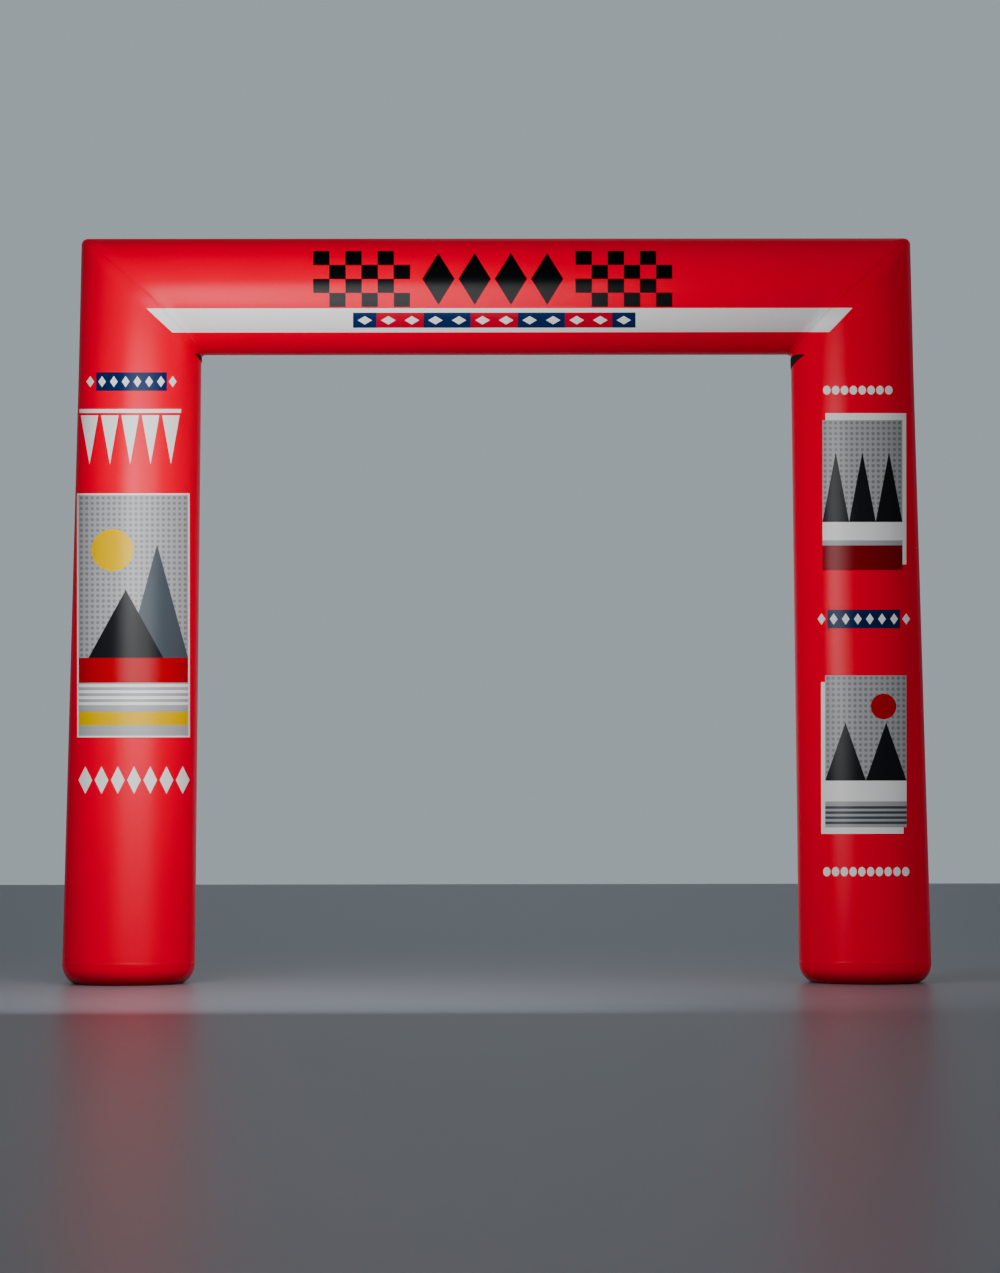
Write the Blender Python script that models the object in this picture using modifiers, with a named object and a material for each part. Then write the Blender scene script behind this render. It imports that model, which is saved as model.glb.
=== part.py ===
"""Square inflatable arch: two upright legs and a crossbar, air-filled cloth tubes that
meet at mitred corners, on two rounded feet.

The arch stands in the XZ plane, its width along X and its depth along Y. The origin is
on the floor, midway between the legs. Every solid is the tube as it stands inflated.
"""

import math

import bmesh
import bpy
from mathutils import Vector

# Driving dimensions, in metres
OVERALL_WIDTH = 5.0
LEG_RADIUS_FOOT = 0.377  # where the tube meets its foot
LEG_RADIUS_TOP = 0.360  # from TAPER_TOP up to the mitre
TAPER_TOP = 3.60
BAR_AXIS_HEIGHT = 4.061
BAR_HALF_HEIGHT = 0.340  # the crossbar's section is a little lower than it is deep
BAR_HALF_DEPTH = LEG_RADIUS_TOP
LEG_AXIS = OVERALL_WIDTH / 2 - LEG_RADIUS_FOOT  # distance of each leg's axis from the middle

# The cloth turns the corner softly, on a larger radius outside than inside
CORNER_RADIUS_OUTSIDE = 0.032
CORNER_RADIUS_INSIDE = 0.020
MITRE_TURN = math.radians(45)  # how far the cloth has turned where the mitre seam runs
CORNER_STEPS = 4  # rings from the straight tube to the mitre seam

# The foot cap curves in from the seam and ends in the flat disc that it stands on
FOOT_HEIGHT = 0.115
FOOT_TURN = math.radians(63)
FOOT_STEPS = 8

# Sewn joints are drawn as a hairline between neighbouring solids
SEAM_GAP = 0.0003

# Dark lens-shaped patches on the legs' inner sides, just under the mitre:
# side, half the angle that the patch covers, height of its middle, its depth at the middle
PATCHES = (
    ("left", math.radians(18), 3.684, 0.028),
    ("right", math.radians(30), 3.656, 0.058),
)
PATCH_TIP_DEPTH = 0.006  # blunt tips
PATCH_THICKNESS = 0.002
PATCH_CELLS_ROUND = 16
PATCH_CELLS_UP = 4

# Fineness of the round shapes
AROUND = 64
LEG_SPAN_RINGS = 4  # rings inside the tapered stretch
BAR_SPAN_RINGS = 5  # rings inside the crossbar's straight stretch

SIDES = {"left": -1, "right": 1}


def make_material(name, colour, roughness):
    """A plain finish with one colour."""
    material = bpy.data.materials.new(name)
    material.use_nodes = True
    shader = material.node_tree.nodes["Principled BSDF"]
    shader.inputs["Base Color"].default_value = (*colour, 1)
    shader.inputs["Roughness"].default_value = roughness
    shader.inputs["Metallic"].default_value = 0
    material.diffuse_color = (*colour, 1)
    return material


def add_object(name, mesh, material, collection):
    """Put a finished mesh into the scene, smooth but for its rims."""
    mesh.materials.append(material)
    mesh.shade_smooth()
    mesh.set_sharp_from_angle(angle=math.radians(35))
    new = bpy.data.objects.new(name, mesh)
    collection.objects.link(new)
    return new


def straight_tube(length):
    """A closed tube of unit radius along Z, with a ring of edges at every whole height."""
    tube = bmesh.new()
    bmesh.ops.create_cone(
        tube, cap_ends=True, segments=AROUND, radius1=1, radius2=1, depth=length
    )
    bmesh.ops.translate(tube, verts=tube.verts, vec=(0, 0, length / 2))
    for height in range(1, length):
        everything = tube.verts[:] + tube.edges[:] + tube.faces[:]
        bmesh.ops.bisect_plane(
            tube, geom=everything, plane_co=(0, 0, height), plane_no=(0, 0, 1)
        )
    return tube


def bent_tube(name, rings):
    """The unit tube with each ring moved to where the cloth runs.

    rings holds one function for each ring. It takes the angle round the tube, which is
    zero on the arch's outer side, and returns the point of the cloth there.
    """
    tube = straight_tube(len(rings) - 1)
    for vertex in tube.verts:
        ring = round(vertex.co.z)
        vertex.co = rings[ring](math.atan2(vertex.co.y, vertex.co.x))
    bmesh.ops.recalc_face_normals(tube, faces=tube.faces)
    mesh = bpy.data.meshes.new(name)
    tube.to_mesh(mesh)
    tube.free()
    return mesh


def leg_radius(height):
    """The leg's radius: it tapers from the foot seam up to TAPER_TOP."""
    share = min(1, (height - FOOT_HEIGHT) / (TAPER_TOP - FOOT_HEIGHT))
    return LEG_RADIUS_FOOT + (LEG_RADIUS_TOP - LEG_RADIUS_FOOT) * share


def leg_ring(side, height):
    """A level ring round a leg."""
    radius = leg_radius(height)

    def point(angle):
        across = LEG_AXIS + radius * math.cos(angle)
        return Vector((side * across, radius * math.sin(angle), height))

    return point


def bar_ring(across):
    """An upright ring round the crossbar."""

    def point(angle):
        height = BAR_AXIS_HEIGHT + BAR_HALF_HEIGHT * math.cos(angle)
        return Vector((across, BAR_HALF_DEPTH * math.sin(angle), height))

    return point


def corner_ring(side, turn, shift=0.0):
    """A slanting ring where the cloth has turned by an angle on its way round the corner.

    shift moves the ring off the mitre seam, towards the crossbar.
    """
    mean = (CORNER_RADIUS_OUTSIDE + CORNER_RADIUS_INSIDE) / 2
    change = (CORNER_RADIUS_OUTSIDE - CORNER_RADIUS_INSIDE) / 2
    off_seam = Vector((-BAR_HALF_HEIGHT, 0, LEG_RADIUS_TOP)).normalized() * shift

    def point(angle):
        outward = math.cos(angle)
        radius = mean + change * outward
        across = LEG_AXIS + LEG_RADIUS_TOP * outward - radius * (1 - math.cos(turn))
        depth = LEG_RADIUS_TOP * math.sin(angle)
        height = BAR_AXIS_HEIGHT + BAR_HALF_HEIGHT * outward
        height -= radius * (1 - math.sin(turn))
        spot = Vector((across, depth, height)) + off_seam
        return Vector((side * spot.x, spot.y, spot.z))

    return point


def leg_mesh(name, side):
    """A leg from its foot seam to the mitre seam."""
    bottom = FOOT_HEIGHT + SEAM_GAP
    rise = (TAPER_TOP - bottom) / (LEG_SPAN_RINGS + 1)
    rings = [leg_ring(side, bottom + rise * k) for k in range(LEG_SPAN_RINGS + 2)]
    turn = MITRE_TURN / CORNER_STEPS
    rings += [corner_ring(side, turn * k) for k in range(CORNER_STEPS + 1)]
    return bent_tube(name, rings)


def bar_end(side):
    """The crossbar's rings at one end, from the mitre seam to the straight tube."""
    step = (math.pi / 2 - MITRE_TURN) / CORNER_STEPS
    turns = [MITRE_TURN + step * k for k in range(1, CORNER_STEPS + 1)]
    seam = corner_ring(side, MITRE_TURN, SEAM_GAP)
    return [seam] + [corner_ring(side, turn) for turn in turns]


def bar_mesh(name):
    """The crossbar from one mitre seam to the other."""
    reach = LEG_AXIS - LEG_RADIUS_TOP  # the level rings stay between the legs
    spacing = 2 * reach / (BAR_SPAN_RINGS + 1)
    middle = [bar_ring(spacing * (k + 1) - reach) for k in range(BAR_SPAN_RINGS)]
    rings = bar_end(SIDES["left"]) + middle + bar_end(SIDES["right"])[::-1]
    return bent_tube(name, rings)


def foot_mesh(name):
    """A foot cap's half section: seam plane, curved side and flat sole."""
    radius = FOOT_HEIGHT / math.sin(FOOT_TURN)
    centre = LEG_RADIUS_FOOT - radius
    outline = [Vector((0, 0, FOOT_HEIGHT))]
    for step in range(FOOT_STEPS + 1):
        turn = FOOT_TURN * step / FOOT_STEPS
        across = centre + radius * math.cos(turn)
        outline.append(Vector((across, 0, FOOT_HEIGHT - radius * math.sin(turn))))
    outline.append(Vector((0, 0, 0)))
    section = bmesh.new()
    points = [section.verts.new(spot) for spot in outline]
    for first, second in zip(points, points[1:]):
        section.edges.new((first, second))
    mesh = bpy.data.meshes.new(name)
    section.to_mesh(mesh)
    section.free()
    return mesh


def add_foot(name, side, material, collection):
    """Turn the half section into a whole cap under its leg."""
    foot = add_object(name, foot_mesh(name), material, collection)
    foot.location.x = side * LEG_AXIS
    screw = foot.modifiers.new("Turned", "SCREW")
    screw.steps = AROUND
    screw.render_steps = AROUND
    screw.use_merge_vertices = True
    screw.merge_threshold = 0.0001
    screw.use_smooth_shade = True
    return foot


def patch_mesh(name, side, half_angle, middle, depth):
    """The patch's outer lens, lying on the leg's inner side."""
    grid = bmesh.new()
    bmesh.ops.create_grid(
        grid, x_segments=PATCH_CELLS_ROUND, y_segments=PATCH_CELLS_UP, size=1
    )
    for vertex in grid.verts:
        along, up = vertex.co.x, vertex.co.y
        fullness = math.cos(along * math.pi / 2)
        depth_here = PATCH_TIP_DEPTH + (depth - PATCH_TIP_DEPTH) * fullness
        height = middle + up * depth_here / 2
        angle = math.pi + half_angle * along
        radius = leg_radius(height) + SEAM_GAP
        across = LEG_AXIS + radius * math.cos(angle)
        vertex.co = Vector((side * across, radius * math.sin(angle), height))
    grid.normal_update()
    if grid.faces[:][0].normal.x * side > 0:
        bmesh.ops.reverse_faces(grid, faces=grid.faces)
    mesh = bpy.data.meshes.new(name)
    grid.to_mesh(mesh)
    grid.free()
    return mesh


def add_patch(name, mesh, material, collection):
    """A patch of cloth with its thickness standing off the leg."""
    patch = add_object(name, mesh, material, collection)
    cloth = patch.modifiers.new("Thickness", "SOLIDIFY")
    cloth.thickness = PATCH_THICKNESS
    cloth.offset = 1
    return patch


def build():
    """Clear the scene and make every piece of the arch."""
    for old in list(bpy.data.objects):
        bpy.data.objects.remove(old)
    arch = bpy.data.collections.new("inflatable_arch")
    bpy.context.scene.collection.children.link(arch)

    leg_cloth = make_material("leg_cloth", (0.63, 0.004, 0.012), 0.42)
    bar_cloth = make_material("bar_cloth", (0.63, 0.004, 0.012), 0.42)
    foot_cloth = make_material("foot_cloth", (0.58, 0.004, 0.010), 0.45)
    patch_cloth = make_material("patch_cloth", (0.016, 0.020, 0.020), 0.6)

    for word, side in SIDES.items():
        add_object(f"leg_{word}", leg_mesh(f"leg_{word}", side), leg_cloth, arch)
        add_foot(f"foot_{word}", side, foot_cloth, arch)
    add_object("crossbar", bar_mesh("crossbar"), bar_cloth, arch)
    for word, half_angle, middle, depth in PATCHES:
        lens = patch_mesh(f"patch_{word}", SIDES[word], half_angle, middle, depth)
        add_patch(f"patch_{word}", lens, patch_cloth, arch)


build()
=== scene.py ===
"""Looks of the inflatable arch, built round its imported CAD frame.

The file is laid out as a Blender add-on. Each operator sews one kind of piece: the leg
tubes, the crossbar tube, the feet, the corner patches and the seams' stitching. One more
sets up the floor, the light and the camera. Everything is in metres, +Z up, and the
camera looks along +Y at the arch's front.
"""

import math
from collections import namedtuple

import bmesh
import bpy
from bpy.props import FloatProperty, FloatVectorProperty, IntProperty, PointerProperty
from mathutils import Matrix, Vector


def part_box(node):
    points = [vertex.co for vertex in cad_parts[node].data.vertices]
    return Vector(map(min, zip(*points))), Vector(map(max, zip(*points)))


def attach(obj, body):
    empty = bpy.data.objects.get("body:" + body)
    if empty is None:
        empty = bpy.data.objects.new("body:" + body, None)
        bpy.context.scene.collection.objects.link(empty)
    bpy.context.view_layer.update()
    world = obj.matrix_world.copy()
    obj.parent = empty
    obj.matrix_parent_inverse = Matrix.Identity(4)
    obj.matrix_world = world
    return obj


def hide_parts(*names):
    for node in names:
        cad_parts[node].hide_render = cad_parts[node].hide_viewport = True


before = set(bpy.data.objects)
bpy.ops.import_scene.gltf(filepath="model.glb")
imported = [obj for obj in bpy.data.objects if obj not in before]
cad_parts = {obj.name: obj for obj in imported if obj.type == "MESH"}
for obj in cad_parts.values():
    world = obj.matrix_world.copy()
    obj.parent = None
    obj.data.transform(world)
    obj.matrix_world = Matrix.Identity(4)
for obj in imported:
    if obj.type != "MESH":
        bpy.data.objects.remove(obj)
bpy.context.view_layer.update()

bl_info = {
    "name": "Inflatable arch",
    "version": (1, 0, 0),
    "blender": (4, 5, 0),
    "location": "3D View > Sidebar > Arch",
    "description": "Sews the cloth of a square inflatable arch round its CAD frame",
    "category": "Object",
}

SIDES = {"left": -1, "right": 1}
BODY = "root"

# What the frame gives
FOOT_LOW, FOOT_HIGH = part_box("foot_right")
BAR_LOW, BAR_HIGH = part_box("crossbar")
LEG_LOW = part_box("leg_right")[0]
FOOT_RADIUS = (FOOT_HIGH.x - FOOT_LOW.x) / 2
LEG_AXIS = (FOOT_HIGH.x + FOOT_LOW.x) / 2
TUBE_RADIUS = BAR_HIGH.y
BAR_HEIGHT = (BAR_HIGH.z + BAR_LOW.z) / 2
BAR_HALF_HEIGHT = (BAR_HIGH.z - BAR_LOW.z) / 2
SEAM_GAP = LEG_LOW.z - FOOT_HIGH.z

MITRE_TURN = math.radians(45)  # how far the cloth has turned where the mitre seam runs
FOOT_TURN = math.radians(63)  # how far the foot's side curves in before its flat sole
SHARP_ANGLE = math.radians(40)  # edges that bend more than this aren't shaded smooth

# The corner patches: side, half the angle covered, height of the middle, depth there
Patch = namedtuple("Patch", "side half_angle middle depth")
PATCHES = (
    Patch("left", math.radians(18), 3.684, 0.028),
    Patch("right", math.radians(30), 3.656, 0.058),
)
PATCH_TIP_DEPTH = 0.006
PATCH_THICKNESS = 0.002

# The artwork is drawn flat on a plane that leans back to face this spot squarely, and is
# laid on the cloth as seen from there, so its lines look straight and upright from in
# front of the arch.
ARTWORK_EYE = Vector((-0.014, -12.19, 0.565))
ARTWORK_LEAN = 0.118  # in radians
ARTWORK_HEIGHT = 2.010  # where the plane crosses the arch's middle

# Prints, in metres on the artwork's plane. Each is repeated in columns and rows, and fill
# is the share of the repeat that each motif takes.
Print = namedtuple("Print", "motif left right low high columns rows fill ink")

# The white band runs over both mitres and ends in slanting cuts
BAND_LOW, BAND_HIGH = 3.798, 3.940
BAND_ENDS_LOW = (-1.903, 1.959)
BAND_ENDS_HIGH = (-2.055, 2.095)

BAR_PRINTS = (
    Print("box", -0.842, 0.819, 3.825, 3.914, 1, 1, 1.0, "navy"),
    Print("box", -0.842, 0.819, 3.825, 3.914, 3, 1, 0.5, "red_ink"),
    Print("diamond", -0.842, 0.819, 3.844, 3.894, 12, 1, 0.62, "white"),
    Print("chequer", -1.075, -0.507, 3.948, 4.276, 6, 4, 1.0, "black"),
    Print("chequer", 0.467, 1.035, 3.948, 4.276, 6, 4, 1.0, "black"),
    Print("diamond", -0.446, 0.406, 3.960, 4.264, 4, 1, 0.88, "black"),
)

LEG_PRINTS = {
    "left": (
        # a plate and a row of diamonds
        Print("box", -2.351, -1.936, 3.456, 3.564, 1, 1, 1.0, "navy"),
        Print("diamond", -2.420, -1.867, 3.477, 3.543, 8, 1, 0.66, "white"),
        # bunting
        Print("box", -2.450, -1.853, 3.326, 3.349, 1, 1, 1.0, "white"),
        Print("pennant", -2.450, -1.853, 3.024, 3.312, 5, 1, 0.86, "white"),
        # a framed landscape under a dotted sky
        Print("box", -2.465, -1.803, 1.420, 2.853, 1, 1, 1.0, "white"),
        Print("box", -2.455, -1.813, 1.430, 2.843, 1, 1, 1.0, "pale"),
        Print("disc", -2.455, -1.813, 1.887, 2.843, 20, 30, 0.60, "slat"),
        Print("disc", -2.380, -2.132, 2.396, 2.644, 1, 1, 1.0, "yellow"),
        Print("peak", -2.176, -1.813, 1.887, 2.553, 1, 1, 1.0, "slate"),
        Print("peak", -2.398, -1.959, 1.887, 2.287, 1, 1, 1.0, "charcoal"),
        Print("box", -2.455, -1.813, 1.741, 1.887, 1, 1, 1.0, "crimson"),
        Print("box", -2.455, -1.813, 1.601, 1.741, 1, 4, 0.5, "white"),
        Print("box", -2.455, -1.813, 1.491, 1.571, 1, 1, 1.0, "yellow"),
        # a row of diamonds
        Print("diamond", -2.465, -1.798, 1.088, 1.250, 7, 1, 0.84, "white"),
    ),
    "right": (
        Print("disc", 1.917, 2.334, 3.430, 3.482, 8, 1, 0.86, "white"),
        # a landscape on a white block, set up and to the right
        Print("box", 1.935, 2.410, 2.431, 3.321, 1, 1, 1.0, "white"),
        Print("box", 1.917, 2.387, 2.398, 3.280, 1, 1, 1.0, "pale"),
        Print("disc", 1.917, 2.387, 2.681, 3.280, 15, 19, 0.60, "slat"),
        Print("peak", 1.917, 2.387, 2.681, 3.091, 3, 1, 1.0, "charcoal"),
        Print("box", 1.917, 2.387, 2.573, 2.681, 1, 1, 1.0, "white"),
        Print("box", 1.917, 2.387, 2.398, 2.543, 1, 1, 1.0, "maroon"),
        # a plate and a row of diamonds
        Print("box", 1.946, 2.373, 2.056, 2.165, 1, 1, 1.0, "navy"),
        Print("diamond", 1.875, 2.444, 2.077, 2.144, 8, 1, 0.66, "white"),
        # a landscape on a white block, set down and to the left
        Print("box", 1.907, 2.392, 0.847, 1.740, 1, 1, 1.0, "white"),
        Print("box", 1.931, 2.410, 0.885, 1.779, 1, 1, 1.0, "pale"),
        Print("disc", 1.931, 2.410, 1.160, 1.779, 15, 19, 0.60, "slat"),
        Print("disc", 2.200, 2.350, 1.521, 1.671, 1, 1, 1.0, "crimson"),
        Print("peak", 1.931, 2.410, 1.160, 1.501, 2, 1, 1.0, "charcoal"),
        Print("box", 1.931, 2.410, 1.038, 1.160, 1, 1, 1.0, "white"),
        Print("box", 1.931, 2.410, 0.897, 1.017, 1, 4, 0.5, "slate"),
        Print("disc", 1.914, 2.430, 0.597, 0.652, 10, 1, 0.84, "white"),
    ),
}


# ---------------------------------------------------------------- settings


class ArchShape(bpy.types.PropertyGroup):
    """Sizes of the tubes, as the CAD frame has them."""

    leg_axis: FloatProperty(
        name="Leg axis", description="Distance of each leg's axis from the middle",
        default=LEG_AXIS, unit="LENGTH",
    )
    foot_radius: FloatProperty(
        name="Foot radius", description="Radius of a leg where it meets its foot",
        default=FOOT_RADIUS, unit="LENGTH",
    )
    tube_radius: FloatProperty(
        name="Tube radius", description="Radius of a leg's top and half the bar's depth",
        default=TUBE_RADIUS, unit="LENGTH",
    )
    foot_height: FloatProperty(
        name="Foot height", description="Height of the seam between foot and leg",
        default=FOOT_HIGH.z, unit="LENGTH",
    )
    taper_top: FloatProperty(
        name="Taper top", description="Height up to which a leg tapers",
        default=3.60, unit="LENGTH",
    )
    bar_height: FloatProperty(
        name="Bar height", description="Height of the crossbar's axis",
        default=BAR_HEIGHT, unit="LENGTH",
    )
    bar_half_height: FloatProperty(
        name="Bar half height", description="Half the height of the crossbar's section",
        default=BAR_HALF_HEIGHT, unit="LENGTH",
    )
    corner_outside: FloatProperty(
        name="Outside corner", description="Radius on which the cloth turns outside",
        default=0.032, unit="LENGTH",
    )
    corner_inside: FloatProperty(
        name="Inside corner", description="Radius on which the cloth turns inside",
        default=0.020, unit="LENGTH",
    )
    corner_swell: FloatProperty(
        name="Flank corner", description="How much wider the cloth turns on the flanks",
        default=0.090, unit="LENGTH",
    )
    seam_gap: FloatProperty(
        name="Seam gap", description="Hairline between two sewn pieces",
        default=SEAM_GAP, unit="LENGTH", precision=5,
    )
    columns: IntProperty(
        name="Columns", description="Faces round a tube", default=176, min=24,
    )
    leg_rows: IntProperty(
        name="Leg rows", description="Faces along a leg's straight part", default=180,
    )
    bar_rows: IntProperty(
        name="Bar rows", description="Faces along the straight crossbar", default=200,
    )
    corner_rows: IntProperty(
        name="Corner rows", description="Faces along half a corner", default=24,
    )
    seam_rows: IntProperty(
        name="Seam rows", description="Faces along the raised edge at a foot seam",
        default=6,
    )


class ArchCloth(bpy.types.PropertyGroup):
    """Colours and surface of the coated cloth."""

    red: FloatVectorProperty(
        name="Cloth red", description="Colour of the tubes",
        default=(0.95, 0.0015, 0.032), subtype="COLOR", min=0, max=1,
    )
    foot_red: FloatVectorProperty(
        name="Foot red", description="Colour of the feet",
        default=(0.93, 0.0015, 0.030), subtype="COLOR", min=0, max=1,
    )
    patch_grey: FloatVectorProperty(
        name="Patch grey", description="Colour of the corner patches",
        default=(0.018, 0.024, 0.023), subtype="COLOR", min=0, max=1,
    )
    thread_red: FloatVectorProperty(
        name="Thread red", description="Colour of the stitching",
        default=(0.80, 0.0030, 0.028), subtype="COLOR", min=0, max=1,
    )
    roughness: FloatProperty(
        name="Roughness", description="Roughness of the coated face",
        default=0.25, subtype="FACTOR", min=0, max=1,
    )
    thread_pitch: FloatProperty(
        name="Thread pitch", description="Distance between the weave's threads",
        default=0.0011, unit="LENGTH", precision=5,
    )


class ArchSewing(bpy.types.PropertyGroup):
    """Sizes of the seams and their stitches."""

    lip_width: FloatProperty(
        name="Lip width", description="Width of the folded seam allowance",
        default=0.013, unit="LENGTH", precision=4,
    )
    lip_height: FloatProperty(
        name="Lip height", description="How far the folded allowance stands proud",
        default=0.0007, unit="LENGTH", precision=5,
    )
    pitch: FloatProperty(
        name="Stitch pitch", description="Distance from stitch to stitch",
        default=0.0085, unit="LENGTH", precision=4,
    )
    length: FloatProperty(
        name="Stitch length", description="Length of the thread that shows",
        default=0.0062, unit="LENGTH", precision=4,
    )
    thickness: FloatProperty(
        name="Thread thickness", description="Thickness of the sewing thread",
        default=0.0014, unit="LENGTH", precision=5,
    )


class ArchStage(bpy.types.PropertyGroup):
    """The floor, the light and the camera."""

    floor: FloatVectorProperty(
        name="Floor", description="Colour of the floor",
        default=(0.290, 0.320, 0.362), subtype="COLOR", min=0, max=1,
    )
    backdrop: FloatVectorProperty(
        name="Backdrop", description="Colour behind the arch",
        default=(0.309, 0.347, 0.374), subtype="COLOR", min=0, max=1,
    )
    front_fill: FloatProperty(
        name="Front fill", description="Brightness of the soft light from in front",
        default=0.69, min=0,
    )
    left_fill: FloatProperty(
        name="Left fill", description="Brightness of the soft light from the left",
        default=0.28, min=0,
    )
    right_fill: FloatProperty(
        name="Right fill", description="Brightness of the soft light from the right",
        default=0.50, min=0,
    )
    back_fill: FloatProperty(
        name="Back fill", description="Brightness of the soft light from behind",
        default=1.90, min=0,
    )
    back_gloss: FloatProperty(
        name="Back gloss", description="Share of the wall's brightness in reflections",
        default=0.95, subtype="FACTOR", min=0, max=1,
    )
    tall: FloatProperty(
        name="Tall box", description="Brightness of the tall soft box in front",
        default=0.74, min=0,
    )
    key: FloatProperty(
        name="Key box", description="Brightness of the raised soft box in front",
        default=1.60, min=0,
    )
    core: FloatProperty(
        name="Core box", description="Brightness of the small soft box in front",
        default=2.2, min=0,
    )
    rear: FloatProperty(
        name="Rear box", description="Brightness of the soft box behind",
        default=0.05, min=0,
    )
    lens: FloatProperty(
        name="Lens", description="Focal length of the camera", default=59.07, unit="CAMERA",
    )


# ---------------------------------------------------------------- formulas in nodes


class Field:
    """A number in a node tree. Formulas written with it become Math nodes."""

    def __init__(self, tree, socket):
        self.tree = tree
        self.socket = socket

    def math(self, operation, *others):
        """This number and the others through one Math node."""
        node = self.tree.nodes.new("ShaderNodeMath")
        node.operation = operation
        for slot, value in zip(node.inputs, (self, *others)):
            feed(slot, value)
        return Field(self.tree, node.outputs[0])

    def __add__(self, other):
        return self.math("ADD", other)

    def __sub__(self, other):
        return self.math("SUBTRACT", other)

    def __mul__(self, other):
        return self.math("MULTIPLY", other)

    def __truediv__(self, other):
        return self.math("DIVIDE", other)

    def __neg__(self):
        return self.math("MULTIPLY", -1)

    def __rsub__(self, other):
        return -self + other

    def __rtruediv__(self, other):
        return other * self.math("POWER", -1)

    __radd__ = __add__
    __rmul__ = __mul__

    def near(self, middle, reach):
        """1 where this number is within reach of middle, and 0 elsewhere."""
        return self.math("COMPARE", middle, reach)

    def under(self, limit):
        """1 where this number is under the limit."""
        return self.math("LESS_THAN", limit)

    def fade(self, start, end):
        """0 at start and 1 at end, with a soft start and end."""
        node = self.tree.nodes.new("ShaderNodeMapRange")
        node.interpolation_type = "SMOOTHSTEP"
        feed(node.inputs["Value"], self)
        feed(node.inputs["From Min"], start)
        feed(node.inputs["From Max"], end)
        return Field(self.tree, node.outputs["Result"])


def feed(slot, value):
    """Link a field or another node's socket to an input, or set the input's value."""
    source = value.socket if isinstance(value, Field) else value
    if isinstance(source, bpy.types.NodeSocket):
        slot.id_data.links.new(source, slot)
    else:
        slot.default_value = source


def add_node(tree, kind, settings=None, **inputs):
    """A new node with its settings and its inputs, which are named with underscores."""
    node = tree.nodes.new(kind)
    for name, value in (settings or {}).items():
        setattr(node, name, value)
    for name, value in inputs.items():
        feed(node.inputs[name.replace("_", " ")], value)
    return node


def vector(tree, x, y, z):
    """The socket of a vector made of three numbers."""
    return add_node(tree, "ShaderNodeCombineXYZ", X=x, Y=y, Z=z).outputs[0]


def parts(tree, source):
    """A vector's three numbers as fields."""
    split = add_node(tree, "ShaderNodeSeparateXYZ", Vector=source)
    return [Field(tree, part) for part in split.outputs]


# ---------------------------------------------------------------- geometry nodes

FLOAT = "NodeSocketFloat"
COUNT = "NodeSocketInt"
TUBE_SIZES = (
    "Leg Axis", "Foot Radius", "Tube Radius", "Foot Height", "Taper Top", "Bar Height",
    "Bar Half Height", "Corner Outside", "Corner Inside", "Corner Swell", "Seam Gap",
    "Lip Width", "Lip Height",
)
TUBE_COUNTS = ("Columns", "Rows", "Corner Rows", "Seam Rows")
TUBE_INPUTS = (
    ("Side", FLOAT), *((label, FLOAT) for label in TUBE_SIZES),
    *((label, COUNT) for label in TUBE_COUNTS), ("Cloth", "NodeSocketMaterial"),
)
LIP_FLAT_SHARE = 0.75  # of the lip's width, before it slopes down to the cloth
LIP_ROWS_REACH = 1.25  # lip widths that the seam rows cover
STITCH_SEGMENTS, STITCH_RINGS = 6, 4  # few, because there are thousands of stitches
STITCH_INPUTS = (
    ("Cloth", "NodeSocketObject"), ("Pitch", FLOAT), ("Length", FLOAT),
    ("Thickness", FLOAT), ("Wander", FLOAT), ("Seed", COUNT),
    ("Thread", "NodeSocketMaterial"),
)


def geometry_tree(name, inputs):
    """A Geometry Nodes tree with named inputs, and those inputs as fields."""
    tree = bpy.data.node_groups.new(name, "GeometryNodeTree")
    mesh = "NodeSocketGeometry"
    tree.interface.new_socket("Geometry", in_out="INPUT", socket_type=mesh)
    for label, kind in inputs:
        tree.interface.new_socket(label, in_out="INPUT", socket_type=kind)
    tree.interface.new_socket("Geometry", in_out="OUTPUT", socket_type=mesh)
    entry = tree.nodes.new("NodeGroupInput")
    return tree, {socket.name: Field(tree, socket) for socket in entry.outputs[:-1]}


def end_tree(tree, geometry, material):
    """Realize what the tree made, give it its cloth and hand it out."""
    real = add_node(tree, "GeometryNodeRealizeInstances", Geometry=geometry)
    dyed = add_node(
        tree, "GeometryNodeSetMaterial", Geometry=real.outputs[0], Material=material
    )
    way_out = tree.nodes.new("NodeGroupOutput")
    feed(way_out.inputs["Geometry"], dyed.outputs[0])


def tube_blank(tree, given, rows):
    """A closed unit tube, and where its points are: the share of the way round it, how
    far each point looks outward and backward, and its height from -1 to 1."""
    blank = add_node(
        tree, "GeometryNodeMeshCylinder", {"fill_type": "NGON"},
        Vertices=given["Columns"], Side_Segments=rows, Radius=1.0, Depth=2.0,
    )
    spot = tree.nodes.new("GeometryNodeInputPosition")
    backward, inward, rise = parts(tree, spot.outputs[0])
    round_share = parts(tree, blank.outputs["UV Map"])[0]
    return blank.outputs["Mesh"], round_share, -inward, backward, rise


def corner_cloth(given, outward, turn):
    """Where the cloth runs round a corner: how far it is drawn in across and in height,
    once it has turned by an angle, and the radius that it turns on."""
    mean = (given["Corner Outside"] + given["Corner Inside"]) * 0.5
    change = (given["Corner Outside"] - given["Corner Inside"]) * 0.5
    flank = 1 - outward * outward
    bend = mean + change * outward + given["Corner Swell"] * flank
    drawn_across = bend * (1 - turn.math("COSINE"))
    drawn_down = bend * (1 - turn.math("SINE"))
    return drawn_across, drawn_down, bend


def raised_lip(given, distance):
    """How far the folded allowance lifts the cloth at a distance from the seam."""
    far = given["Lip Width"]
    return given["Lip Height"] * (1 - distance.fade(far * LIP_FLAT_SHARE, far))


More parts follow.
